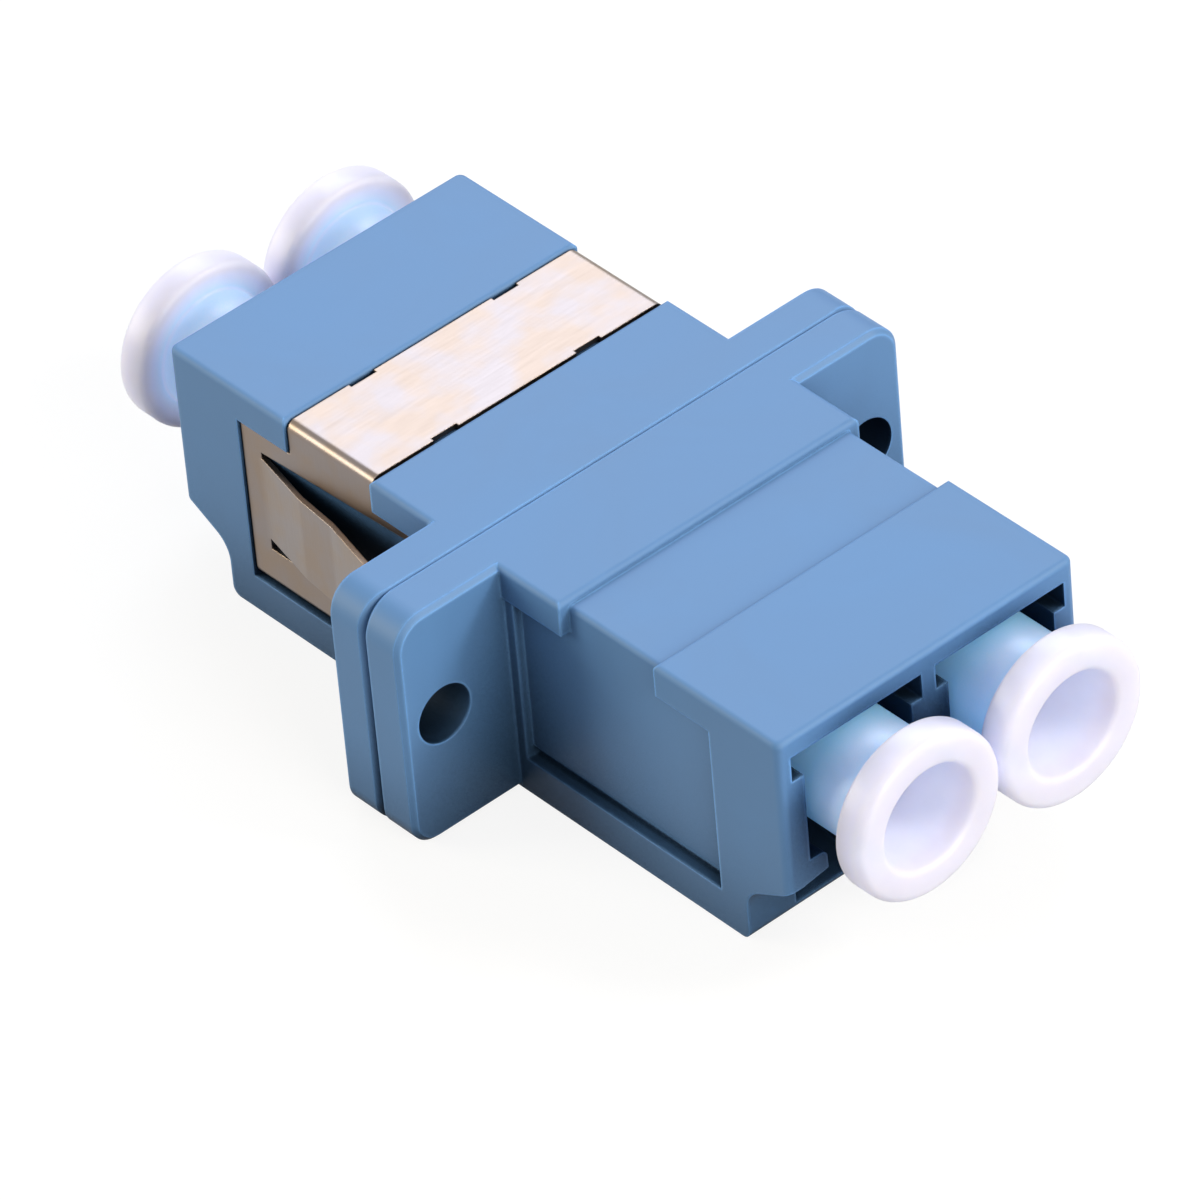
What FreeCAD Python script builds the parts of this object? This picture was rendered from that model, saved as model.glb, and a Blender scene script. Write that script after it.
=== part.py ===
import FreeCAD, Part

import math
import os
import types

import Sketcher

# Duplex LC fibre adapter: two like moulded halves welded at the flange, two
# ceramic split sleeves between them, a sprung panel clip and four dust caps.
# The part's frame: X across the two ports, Y along the fibres with the front
# end at -Y, Z up from the underside. The halves meet on the plane Y = 0.

Vector = FreeCAD.Vector

# Every length is in millimetres and every angle in degrees.
DIMENSIONS = {
    # Housing half: outside of the body
    "body_width": 12.9,          # across the end region
    "body_height": 9.35,         # flush with the flange, top and bottom
    "half_length": 14.85,        # from the weld to the end face
    "band_rise": 0.1,            # collar next to the flange, proud of each side
    "band_end": 4.62,            # where the collar stops, from the weld
    "edge_round": 0.2,           # soft edges of the moulding
    "flange_chamfer": 0.18,
    "corner_round": 0.3,         # upright corners of the end face
    # Housing half: mounting flange
    "flange_width": 22.0,
    "flange_thickness": 1.71,    # of one half
    "flange_top_round": 1.2,
    "flange_foot_round": 1.0,
    "ear_hole_inset": 1.7,       # from the flange's ends to the holes' centres
    "ear_hole_diameter": 2.2,
    "ear_hole_height": 4.88,
    "seam_depth_at_ends": 0.2,   # weld line, deepest at the ears' ends
    "seam_depth_on_top": 0.06,
    "seam_half_width": 0.2,
    # Housing half: recesses for the panel clip
    "top_recess_end": 9.0,       # from the weld
    "top_recess_depth": 0.25,
    "side_recess_start": 2.15,
    "side_recess_end": 11.5,
    "side_recess_depth": 0.3,
    "side_ledge_drop": 1.28,     # from the top to the ledge above the recess
    "rail_height": 1.45,         # of the rail below the recess
    "groove_height": 0.4,        # groove above the rail, for the clip's feet
    "groove_depth": 0.25,        # deeper than the side recess
    # Housing half: step under the end, where a plug's latch is pressed
    "lip_thickness": 0.93,       # from the port's floor to the step
    "notch_setback": 2.1,
    "notch_slope": 1.1,          # fall of the step's roof, from the end face in
    "notch_round": 1.1,
    "toe_round": 0.35,
    # Ports
    "port_pitch": 6.25,
    "axis_drop": 3.07,           # from the top to the ferrules' axes
    "port_width": 4.65,
    "port_above_axis": 2.3,
    "port_below_axis": 2.23,
    "shoulder_width": 5.64,      # wider top of the port's mouth
    "shoulder_height": 0.98,
    "shoulder_length": 3.0,
    "latch_channel_width": 3.2,
    "lip_round": 0.3,
    "lip_rise": 0.16,            # slope under the lips
    "lip_slope_width": 1.1,
    "latch_window_length": 2.3,  # room behind the lips for the latch's lugs
    "latch_slot_width": 2.6,
    "latch_slot_length": 3.6,
    "latch_slot_floor": 0.35,
    "latch_slot_rise": 1.5,
    # Sleeve barrels
    "web_thickness": 1.2,
    "barrel_diameter": 2.6,
    "barrel_length": 4.3,        # from the weld
    "barrel_chamfer": 0.15,
    "lead_in_diameter": 1.6,     # at the barrel's tip
    "ferrule_bore": 1.4,         # at the sleeve's pocket
    # Split sleeves
    "sleeve_diameter": 1.62,
    "sleeve_bore": 1.25,
    "sleeve_length": 6.8,
    "sleeve_slit": 0.25,
    "sleeve_gap": 0.05,          # free play in its pocket, radial and at an end
    # Panel clip
    "sheet_thickness": 0.2,
    "clip_seat_gap": 0.02,       # between the sheet and the recess floors
    "clip_edge_gap": 0.08,       # between the sheet's edges and the recess walls
    "clip_bend_round": 0.15,     # inside of the bends
    "foot_reach": 0.25,
    "window_end": 10.5,          # root of the tongue
    "window_start": 2.9,
    "window_bottom": 3.1,
    "window_drop_at_root": 0.87,     # from the ledge above
    "window_drop_at_flange": 0.47,
    "tongue_bottom": 3.55,
    "tongue_drop": 1.14,         # from the ledge to the tongue's top edge
    "tongue_overlap": 0.3,       # of the tongue's root with its plate
    "tongue_elbow": 8.0,         # first bend, from the weld
    "tongue_elbow_out": 0.56,
    "tongue_waist": 6.2,         # second bend
    "tongue_waist_out": 0.76,
    "tongue_tip": 3.45,
    "tongue_tip_out": 1.4,
    "tongue_round": 1.5,
    "edge_notch_length": 1.1,    # small notches in the top plate's edges
    "edge_notch_depth": 0.14,
    # Dust caps
    "cap_tube_diameter": 4.22,
    "cap_tip": 2.3,              # inner end, from the weld
    "cap_tip_chamfer": 0.25,
    "cap_grip_gap": 0.05,        # radial, on the sleeve barrel
    "cap_grip_length": 2.6,
    "cap_disc_start": 16.92,
    "cap_disc_thickness": 1.25,
    "cap_disc_diameter": 6.15,
    "cap_rim_chamfer": 0.15,
    "cap_mouth_diameter": 4.25,
    "cap_throat_diameter": 2.9,
    "cap_funnel_length": 2.4,
    "cap_well_length": 6.5,
    # Run-out of cuts past the faces that they open
    "overrun": 1.0,
}

SHEET_NAME = "dims"
UPRIGHT = Vector(0, 0, 1)
HALF_TURN = 180
TOUCH = 1e-4


class Size:
    """A length in millimetres, with the spreadsheet formula that gives it."""

    def __init__(self, value, formula):
        self.value = value
        self.formula = formula

    def __add__(self, other):
        other = as_size(other)
        return Size(self.value + other.value, f"({self.formula} + {other.formula})")

    def __sub__(self, other):
        other = as_size(other)
        return Size(self.value - other.value, f"({self.formula} - {other.formula})")

    def __mul__(self, factor):
        return Size(self.value * factor, f"({self.formula} * {factor})")

    def __truediv__(self, divisor):
        return Size(self.value / divisor, f"({self.formula} / {divisor})")

    def __neg__(self):
        return self * -1

    __rmul__ = __mul__


def as_size(number):
    """Let a plain number stand where a Size is expected."""
    if isinstance(number, Size):
        return number
    return Size(number, str(number))


def dimension_sheet(doc):
    """Write the sheet, and return its cells as Sizes under their aliases."""
    sheet = doc.addObject("Spreadsheet::Sheet", SHEET_NAME)
    cells = types.SimpleNamespace()
    for row, (alias, value) in enumerate(DIMENSIONS.items(), start=1):
        sheet.set(f"A{row}", alias)
        sheet.set(f"B{row}", str(value))
        sheet.setAlias(f"B{row}", alias)
        setattr(cells, alias, Size(value, f"<<{SHEET_NAME}>>.{alias}"))
    doc.recompute()
    follow_on_sizes(cells)
    return cells


def follow_on_sizes(d):
    """Add the sizes that follow from others, so that a change carries through."""
    d.band_width = d.body_width + 2 * d.band_rise
    d.ear_hole_spacing = d.flange_width - 2 * d.ear_hole_inset
    d.side_ledge_height = d.body_height - d.side_ledge_drop
    d.axis_height = d.body_height - d.axis_drop
    d.notch_height = d.axis_height - d.port_below_axis - d.lip_thickness


def bind(feature, prop, size):
    """Give a property its size and tie it to the sheet."""
    size = as_size(size)
    if hasattr(feature, prop):
        setattr(feature, prop, size.value)
    feature.setExpression(prop, size.formula)


# ---------------------------------------------------------------- sketches

def new_sketch(body, name, plane, offset=0):
    """Add a sketch to one of the body's origin planes, or parallel to it."""
    sketch = body.newObject("Sketcher::SketchObject", name)
    origin_planes = {item.Role: item for item in body.Origin.OriginFeatures}
    sketch.AttachmentSupport = [(origin_planes[plane], "")]
    sketch.MapMode = "FlatFace"
    bind(sketch, "AttachmentOffset.Base.z", offset)
    return sketch


def pin_point(sketch, geometry, end, u, v):
    """Hold a point of the sketch at two sizes from the sketch's origin."""
    for kind, size in (("DistanceX", u), ("DistanceY", v)):
        constraint = Sketcher.Constraint(kind, -1, 1, geometry, end, size.value)
        index = sketch.addConstraint(constraint)
        sketch.setExpression(f"Constraints[{index}]", size.formula)


def outline(sketch, corners):
    """Draw a closed outline through corners (u, v) or (u, v, radius)."""
    corners = [tuple(as_size(item) for item in corner) for corner in corners]
    points = [Vector(corner[0].value, corner[1].value, 0) for corner in corners]
    arcs = [corner_arc(points, index, corner) for index, corner in enumerate(corners)]
    count = len(corners)
    lines = []
    for index in range(count):
        following = (index + 1) % count
        start = arcs[index][1] if arcs[index] else points[index]
        stop = arcs[following][0] if arcs[following] else points[following]
        lines.append(sketch.addGeometry(Part.LineSegment(start, stop)))
    for index, corner in enumerate(corners):
        arriving, leaving = lines[index - 1], lines[index]
        if arcs[index]:
            tie_arc(sketch, arriving, leaving, arcs[index], points[index], corner)
        else:
            sketch.addConstraint(Sketcher.Constraint("Coincident", arriving, 2, leaving, 1))
            pin_point(sketch, leaving, 1, corner[0], corner[1])


def corner_arc(points, index, corner):
    """Return a rounded corner's start, end, middle and turn, or None if it is sharp."""
    if len(corner) < 3:
        return None
    point = points[index]
    into = (point - points[index - 1]).normalize()
    out_of = (points[(index + 1) % len(points)] - point).normalize()
    turn = into.getAngle(out_of)
    radius = corner[2].value
    reach = radius * math.tan(turn / 2)
    centre = point + (out_of - into).normalize() * (radius / math.cos(turn / 2))
    middle = centre + (point - centre).normalize() * radius
    turns_left = into.cross(out_of).z > 0
    return point - into * reach, point + out_of * reach, middle, turns_left


def tie_arc(sketch, arriving, leaving, arc, point, corner):
    """Add a corner's arc, tangent to both lines, and pin the corner it replaces."""
    start, stop, middle, turns_left = arc
    first, last = (start, stop) if turns_left else (stop, start)
    arc_id = sketch.addGeometry(Part.Arc(first, middle, last))
    arriving_end, leaving_end = (1, 2) if turns_left else (2, 1)
    corner_id = sketch.addGeometry(Part.Point(point), True)
    sketch.addConstraint([
        Sketcher.Constraint("Tangent", arriving, 2, arc_id, arriving_end),
        Sketcher.Constraint("Tangent", arc_id, leaving_end, leaving, 1),
        Sketcher.Constraint("PointOnObject", corner_id, 1, arriving),
        Sketcher.Constraint("PointOnObject", corner_id, 1, leaving),
    ])
    pin_point(sketch, corner_id, 1, corner[0], corner[1])
    radius = sketch.addConstraint(Sketcher.Constraint("Radius", arc_id, corner[2].value))
    sketch.setExpression(f"Constraints[{radius}]", corner[2].formula)


def rectangle(sketch, left, right, bottom, top):
    """Draw a rectangle between four sizes."""
    outline(sketch, [(left, bottom), (right, bottom), (right, top), (left, top)])


def circle(sketch, u, v, diameter):
    """Draw a circle about a centre that two sizes place."""
    u, v, diameter = as_size(u), as_size(v), as_size(diameter)
    centre = Vector(u.value, v.value, 0)
    ring = sketch.addGeometry(Part.Circle(centre, Vector(0, 0, 1), diameter.value / 2))
    pin_point(sketch, ring, 3, u, v)
    constraint = sketch.addConstraint(Sketcher.Constraint("Diameter", ring, diameter.value))
    sketch.setExpression(f"Constraints[{constraint}]", diameter.formula)


# ---------------------------------------------------------------- features

def extrude(body, kind, sketch, length, symmetric, backwards):
    """Add a Pad or Pocket of a sketch, and return the change in volume."""
    before = body.Shape.Volume if body.Tip else 0
    feature = body.newObject(f"PartDesign::{kind}", f"{kind.lower()}_{sketch.Name}")
    feature.Profile = sketch
    feature.Reversed = backwards
    if symmetric:
        feature.SideType = "Symmetric"
    bind(feature, "Length", length)
    body.Document.recompute()
    return feature, body.Shape.Volume - before


def pad(body, sketch, length, symmetric=False, backwards=False):
    """Add the sketch's prism to the body."""
    feature, change = extrude(body, "Pad", sketch, length, symmetric, backwards)
    if change <= 0:
        raise RuntimeError(f"{feature.Name} adds nothing")
    return feature


def cut(body, sketch, length, symmetric=False, backwards=False):
    """Take the sketch's prism out of the body; it runs against the plane's normal."""
    feature, change = extrude(body, "Pocket", sketch, length, symmetric, backwards)
    if change >= 0:
        raise RuntimeError(f"{feature.Name} cuts nothing")
    return feature


def span(edge):
    """An edge's lowest and highest corners, as two vectors."""
    box = edge.BoundBox
    return Vector(box.XMin, box.YMin, box.ZMin), Vector(box.XMax, box.YMax, box.ZMax)


def at(low, high, value):
    """Whether both ends of a span lie at one value."""
    return abs(low - value) < TOUCH and abs(high - value) < TOUCH


def on_sides(low, high, half_width):
    """Whether a span lies along either side of the body."""
    return at(low.x, high.x, half_width) or at(low.x, high.x, -half_width)


def dress_edges(body, kind, name, size, wanted):
    """Fillet or chamfer the edges of the body that the test picks."""
    base = body.Tip
    picked = [f"Edge{number}" for number, edge in enumerate(base.Shape.Edges, start=1)
              if wanted(*span(edge), edge)]
    if not picked:
        raise RuntimeError(f"{name} finds no edge")
    feature = body.newObject(f"PartDesign::{kind}", name)
    feature.Base = (base, picked)
    bind(feature, "Radius" if kind == "Fillet" else "Size", size)
    body.Document.recompute()
    return feature


# ------------------------------------------------------------ housing half

def add_blank(body, d):
    """Solid body with the step under its end, the collar and the flange."""
    toe = -(d.half_length - d.notch_setback)
    side = new_sketch(body, "side_profile", "YZ_Plane")
    outline(side, [
        (0, 0),
        (0, d.body_height),
        (-d.half_length, d.body_height),
        (-d.half_length, d.notch_height),
        (toe, d.notch_height - d.notch_slope, d.notch_round),
        (toe, 0, d.toe_round),
    ])
    pad(body, side, d.body_width, symmetric=True)

    band = new_sketch(body, "band_profile", "XZ_Plane")
    rectangle(band, -d.band_width / 2, d.band_width / 2, d.side_ledge_height, d.body_height)
    pad(body, band, d.band_end)

    flange = new_sketch(body, "flange_profile", "XZ_Plane")
    rounded_plate(flange, d.flange_width / 2, as_size(0), d.body_height,
                  d.flange_foot_round, d.flange_top_round)
    pad(body, flange, d.flange_thickness)


def rounded_plate(sketch, half_width, bottom, top, foot_round, top_round):
    """Outline of the flange, or of a plate inside it."""
    outline(sketch, [
        (-half_width, bottom, foot_round),
        (half_width, bottom, foot_round),
        (half_width, top, top_round),
        (-half_width, top, top_round),
    ])


def cut_seam(body, d):
    """Tapered relief along the weld, which shows as a line round the flange."""
    relief = new_sketch(body, "seam_relief", "XZ_Plane")
    outside = d.flange_width / 2 + d.overrun
    rectangle(relief, -outside, outside, -d.overrun, d.body_height + d.overrun)
    rounded_plate(relief, d.flange_width / 2 - d.seam_depth_at_ends, d.seam_depth_on_top,
                  d.body_height - d.seam_depth_on_top, d.flange_foot_round, d.flange_top_round)
    groove = cut(body, relief, d.seam_half_width, backwards=True)
    groove.setExpression("TaperAngle", f"atan({d.seam_depth_at_ends.formula}"
                                       f" / {d.seam_half_width.formula})")


def cut_ear_holes(body, d):
    """Screw holes through the two ears."""
    holes = new_sketch(body, "ear_holes", "XZ_Plane")
    for side in (-1, 1):
        circle(holes, side * d.ear_hole_spacing / 2, d.ear_hole_height, d.ear_hole_diameter)
    cut(body, holes, d.flange_thickness, backwards=True)


def cut_clip_recesses(body, d):
    """Shallow seats for the clip on the top and both sides, and grooves for its feet."""
    seat_side = d.body_width / 2 - d.side_recess_depth
    seat_top = d.body_height - d.top_recess_depth
    outside = d.band_width / 2 + d.overrun
    above = d.body_height + d.overrun

    saddle = new_sketch(body, "clip_saddle", "XZ_Plane", d.band_end)
    shoulder_round = d.clip_bend_round + d.clip_seat_gap
    outline(saddle, [
        (-outside, d.side_ledge_height),
        (-seat_side, d.side_ledge_height),
        (-seat_side, seat_top, shoulder_round),
        (seat_side, seat_top, shoulder_round),
        (seat_side, d.side_ledge_height),
        (outside, d.side_ledge_height),
        (outside, above),
        (-outside, above),
    ])
    cut(body, saddle, d.top_recess_end - d.band_end, backwards=True)

    sides = new_sketch(body, "side_recesses", "XZ_Plane", d.side_recess_start)
    groove = seat_side - d.groove_depth
    groove_top = d.rail_height + d.groove_height
    for side in (-1, 1):
        outline(sides, [
            (side * seat_side, d.side_ledge_height),
            (side * outside, d.side_ledge_height),
            (side * outside, d.rail_height),
            (side * groove, d.rail_height),
            (side * groove, groove_top),
            (side * seat_side, groove_top),
        ])
    cut(body, sides, d.side_recess_end - d.side_recess_start, backwards=True)


def cut_ports(body, d):
    """Plug cavities with their lipped mouths."""
    top = d.axis_height + d.port_above_axis
    floor = d.axis_height - d.port_below_axis
    half = d.port_width / 2
    lip_face = d.half_length - d.notch_setback
    mouth = d.half_length - d.shoulder_length
    bores = new_sketch(body, "port_bores", "XZ_Plane", d.web_thickness)
    shoulders = new_sketch(body, "port_shoulders", "XZ_Plane", mouth)
    channels = new_sketch(body, "latch_channels", "XZ_Plane", lip_face)
    windows = new_sketch(body, "latch_windows", "XZ_Plane", lip_face)
    for side in (-1, 1):
        axis = side * d.port_pitch / 2
        rectangle(bores, axis - half, axis + half, floor, top)
        rectangle(shoulders, axis - d.shoulder_width / 2, axis + d.shoulder_width / 2,
                  top - d.shoulder_height, top)
        latch_channel_outline(channels, d, axis, floor)
        rectangle(windows, axis - half, axis + half, d.notch_height, floor + half)
    for opening in (bores, shoulders, channels):
        cut(body, opening, d.half_length, backwards=True)
    cut(body, windows, d.latch_window_length)


def latch_channel_outline(sketch, d, axis, floor):
    """Gap between a mouth's two lips, with their upper rounds and lower slopes."""
    gap = d.latch_channel_width / 2
    slope = gap + d.lip_slope_width
    middle = floor + d.port_below_axis
    outline(sketch, [
        (axis - d.port_width / 2, middle),
        (axis - d.port_width / 2, floor),
        (axis - gap, floor, d.lip_round),
        (axis - gap, d.notch_height + d.lip_rise),
        (axis - slope, d.notch_height),
        (axis - slope, -d.overrun),
        (axis + slope, -d.overrun),
        (axis + slope, d.notch_height),
        (axis + gap, d.notch_height + d.lip_rise),
        (axis + gap, floor, d.lip_round),
        (axis + d.port_width / 2, floor),
        (axis + d.port_width / 2, middle),
    ])


def cut_latch_slots(body, d):
    """Ramped slots under the ports, where the latches' arms flex down."""
    mouth = -(d.half_length - d.notch_setback)
    inner = mouth + d.latch_slot_length
    floor = d.axis_height - d.port_below_axis
    for side, name in ((-1, "left"), (1, "right")):
        slot = new_sketch(body, f"{name}_latch_slot", "YZ_Plane", side * d.port_pitch / 2)
        outline(slot, [
            (mouth - d.overrun, d.latch_slot_floor),
            (mouth, d.latch_slot_floor),
            (inner, d.latch_slot_floor + d.latch_slot_rise),
            (inner, floor),
            (mouth - d.overrun, floor),
        ])
        cut(body, slot, d.latch_slot_width, symmetric=True)


def add_barrels(body, d):
    """Tubes that hold the split sleeves on the ports' axes, with tapered lead-ins."""
    barrels = new_sketch(body, "barrels", "XZ_Plane")
    pockets = new_sketch(body, "sleeve_pockets", "XZ_Plane")
    lead_ins = new_sketch(body, "ferrule_lead_ins", "XZ_Plane", d.barrel_length)
    for side in (-1, 1):
        axis = side * d.port_pitch / 2
        circle(barrels, axis, d.axis_height, d.barrel_diameter)
        circle(pockets, axis, d.axis_height, d.sleeve_diameter + 2 * d.sleeve_gap)
        circle(lead_ins, axis, d.axis_height, d.lead_in_diameter)
    pocket_length = d.sleeve_length / 2 + d.sleeve_gap
    lip_length = d.barrel_length - pocket_length
    narrowing = (d.lead_in_diameter - d.ferrule_bore) / 2
    pad(body, barrels, d.barrel_length)
    cut(body, pockets, pocket_length, backwards=True)
    funnel = cut(body, lead_ins, lip_length)
    funnel.setExpression("TaperAngle", f"atan({narrowing.formula} / {lip_length.formula})")
    tip = -d.barrel_length.value

    def rim_of_barrel(low, high, edge):
        return at(low.y, high.y, tip)

    dress_edges(body, "Chamfer", "barrel_lead_in", d.barrel_chamfer, rim_of_barrel)


def soften_housing(body, d):
    """Moulded rounds on the outside edges."""
    end = -d.half_length.value
    height = d.body_height.value
    half_width = d.body_width.value / 2
    half_band = d.band_width.value / 2
    collar_face = -d.band_end.value
    flange_face = -d.flange_thickness.value

    def end_face_corner(low, high, edge):
        return at(low.y, high.y, end) and on_sides(low, high, half_width)

    def end_top_edge(low, high, edge):
        across = high.x - low.x > half_width and high.y < collar_face - TOUCH
        return at(low.z, high.z, height) and (on_sides(low, high, half_width) or across)

    def collar_edge(low, high, edge):
        across = high.x - low.x > half_width and at(low.y, high.y, collar_face)
        return at(low.z, high.z, height) and (on_sides(low, high, half_band) or across)

    def flange_face_edge(low, high, edge):
        outside = max(abs(low.x), abs(high.x)) > half_band + TOUCH
        ear_hole = len(edge.Vertexes) == 1
        return at(low.y, high.y, flange_face) and outside and not ear_hole

    dress_edges(body, "Fillet", "end_corners", d.corner_round, end_face_corner)
    dress_edges(body, "Fillet", "end_top_edges", d.edge_round, end_top_edge)
    dress_edges(body, "Fillet", "collar_edges", d.edge_round, collar_edge)
    dress_edges(body, "Chamfer", "flange_edges", d.flange_chamfer, flange_face_edge)


def housing_half(doc, d, label, turned):
    """One of the two like mouldings; the rear one is turned about the upright axis."""
    body = doc.addObject("PartDesign::Body", label)
    add_blank(body, d)
    cut_seam(body, d)
    cut_ear_holes(body, d)
    cut_clip_recesses(body, d)
    cut_ports(body, d)
    cut_latch_slots(body, d)
    add_barrels(body, d)
    soften_housing(body, d)
    seat(body, 0, 0, turned)
    return body


# -------------------------------------------------------------- panel clip

def panel_clip(doc, d, label):
    """Spring sheet folded over the rear half, with a tongue bent out of each side."""
    body = doc.addObject("PartDesign::Body", label)
    inner = d.body_width / 2 - d.side_recess_depth + d.clip_seat_gap
    add_folded_strip(body, d, inner)
    trim_side_plates(body, d)
    cut_tongue_windows(body, d)
    add_tongues(body, d, inner)
    notch_top_edges(body, d)
    return body


def add_folded_strip(body, d, inner):
    """Channel that lies on the recess floors, with its feet turned in below."""
    outer = inner + d.sheet_thickness
    roof = d.body_height - d.top_recess_depth + d.clip_seat_gap
    crest = roof + d.sheet_thickness
    sole = d.rail_height + d.clip_edge_gap
    foot = inner - d.foot_reach
    tight = d.clip_bend_round
    wide = d.clip_bend_round + d.sheet_thickness
    strip = new_sketch(body, "folded_strip", "XZ_Plane", -d.side_recess_start - d.clip_edge_gap)
    outline(strip, [
        (-outer, sole, wide),
        (-outer, crest, wide),
        (outer, crest, wide),
        (outer, sole, wide),
        (foot, sole),
        (foot, sole + d.sheet_thickness),
        (inner, sole + d.sheet_thickness, tight),
        (inner, roof, tight),
        (-inner, roof, tight),
        (-inner, sole + d.sheet_thickness, tight),
        (-foot, sole + d.sheet_thickness),
        (-foot, sole),
    ])
    length = d.side_recess_end - d.side_recess_start - 2 * d.clip_edge_gap
    pad(body, strip, length, backwards=True)


def trim_side_plates(body, d):
    """Cut the sheet back to pass under the ledges beside the top plate."""
    under_ledge = d.side_ledge_height - d.clip_edge_gap
    above = d.body_height + d.overrun
    trim = new_sketch(body, "ledge_trim", "YZ_Plane")
    rectangle(trim, d.side_recess_start - d.overrun, d.band_end + d.clip_edge_gap,
              under_ledge, above)
    rectangle(trim, d.top_recess_end - d.clip_edge_gap, d.side_recess_end + d.overrun,
              under_ledge, above)
    cut(body, trim, d.body_width, symmetric=True)


def cut_tongue_windows(body, d):
    """Open both side plates round the tongues."""
    window = new_sketch(body, "tongue_window", "YZ_Plane")
    outline(window, [
        (d.window_start, d.window_bottom),
        (d.window_end, d.window_bottom),
        (d.window_end, d.side_ledge_height - d.window_drop_at_root),
        (d.window_start, d.side_ledge_height - d.window_drop_at_flange),
    ])
    cut(body, window, d.body_width, symmetric=True)


def add_tongues(body, d, inner):
    """S-bent tongues that spring out towards the flange and hold the panel."""
    height = d.side_ledge_height - d.tongue_drop - d.tongue_bottom
    for side, name in ((-1, "left"), (1, "right")):
        tongue = new_sketch(body, f"{name}_tongue", "XY_Plane", d.tongue_bottom)
        run = [
            (inner, d.window_end + d.tongue_overlap),
            (inner, d.window_end, d.tongue_round),
            (inner + d.tongue_elbow_out, d.tongue_elbow, d.tongue_round),
            (inner + d.tongue_waist_out, d.tongue_waist, d.tongue_round),
            (inner + d.tongue_tip_out, d.tongue_tip),
        ]
        near_face = [(side * corner[0],) + corner[1:] for corner in run]
        far_face = [(side * (corner[0] + d.sheet_thickness),) + corner[1:] for corner in run]
        outline(tongue, near_face + far_face[::-1])
        pad(body, tongue, height)


def notch_top_edges(body, d):
    """Shallow notches over the port axes in the top plate's two edges."""
    notches = new_sketch(body, "edge_notches", "XY_Plane", d.side_ledge_height)
    front = d.band_end + d.clip_edge_gap
    rear = d.top_recess_end - d.clip_edge_gap
    for side in (-1, 1):
        left = side * d.port_pitch / 2 - d.edge_notch_length / 2
        right = side * d.port_pitch / 2 + d.edge_notch_length / 2
        rectangle(notches, left, right, front - d.overrun, front + d.edge_notch_depth)
        rectangle(notches, left, right, rear - d.edge_notch_depth, rear + d.overrun)
    cut(body, notches, d.body_height, backwards=True)


# ------------------------------------------------------- sleeves and caps

def split_sleeve(doc, d, label, side):
    """Slit ceramic tube that lines up two ferrules."""
    body = doc.addObject("PartDesign::Body", label)
    ring = new_sketch(body, "ring", "XZ_Plane")
    circle(ring, 0, 0, d.sleeve_diameter)
    circle(ring, 0, 0, d.sleeve_bore)
    pad(body, ring, d.sleeve_length, symmetric=True)
    slit = new_sketch(body, "slit", "XZ_Plane")
    rectangle(slit, -d.sleeve_slit / 2, d.sleeve_slit / 2, 0, d.sleeve_diameter)
    cut(body, slit, d.sleeve_length, symmetric=True)
    seat(body, side * d.port_pitch / 2, d.axis_height, turned=False)
    return body


def dust_cap(doc, d, label, side, turned):
    """Turned shape of a cap: a grip bore, a closing web, a funnel and a thumb disc."""
    body = doc.addObject("PartDesign::Body", label)
    tube = d.cap_tube_diameter / 2
    grip = d.barrel_diameter / 2 + d.cap_grip_gap
    disc = d.cap_disc_diameter / 2
    face = d.cap_disc_start + d.cap_disc_thickness
    mouth = d.cap_mouth_diameter / 2
    throat = d.cap_throat_diameter / 2
    throat_start = face - d.cap_funnel_length
    well_end = throat_start - d.cap_well_length
    profile = new_sketch(body, "profile", "YZ_Plane")
    outline(profile, [
        (-well_end, 0),
        (-well_end, throat),
        (-throat_start, throat),
        (-face + d.cap_rim_chamfer, mouth),
        (-face, mouth + d.cap_rim_chamfer),
        (-face, disc - d.cap_rim_chamfer),
        (-face + d.cap_rim_chamfer, disc),
        (-d.cap_disc_start - d.cap_rim_chamfer, disc),
        (-d.cap_disc_start, disc - d.cap_rim_chamfer),
        (-d.cap_disc_start, tube),
        (-d.cap_tip - d.cap_tip_chamfer, tube),
        (-d.cap_tip, tube - d.cap_tip_chamfer),
        (-d.cap_tip, grip),
        (-d.cap_tip - d.cap_grip_length, grip),
        (-d.cap_tip - d.cap_grip_length, 0),
    ])
    turning = body.newObject("PartDesign::Revolution", "turning")
    turning.Profile = profile
    turning.ReferenceAxis = (profile, ["H_Axis"])
    doc.recompute()
    seat(body, side * d.port_pitch / 2, d.axis_height, turned)
    return body


# ----------------------------------------------------------------- assembly

def seat(body, across, height, turned):
    """Put a body on its axis, facing the front or turned to face the rear."""
    across, height = as_size(across), as_size(height)
    turn = FreeCAD.Rotation(UPRIGHT, HALF_TURN if turned else 0)
    body.Placement = FreeCAD.Placement(Vector(across.value, 0, height.value), turn)
    body.setExpression("Placement.Base.x", across.formula)
    body.setExpression("Placement.Base.z", height.formula)


def build(doc):
    """Make every piece of the adapter."""
    d = dimension_sheet(doc)
    pieces = [
        housing_half(doc, d, "front_housing", turned=False),
        housing_half(doc, d, "rear_housing", turned=True),
        panel_clip(doc, d, "panel_clip"),
    ]
    for side, place in ((-1, "left"), (1, "right")):
        pieces.append(split_sleeve(doc, d, f"split_sleeve_{place}", side))
        pieces.append(dust_cap(doc, d, f"cap_front_{place}", side, turned=False))
        pieces.append(dust_cap(doc, d, f"cap_rear_{place}", side, turned=True))
    return pieces


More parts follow.
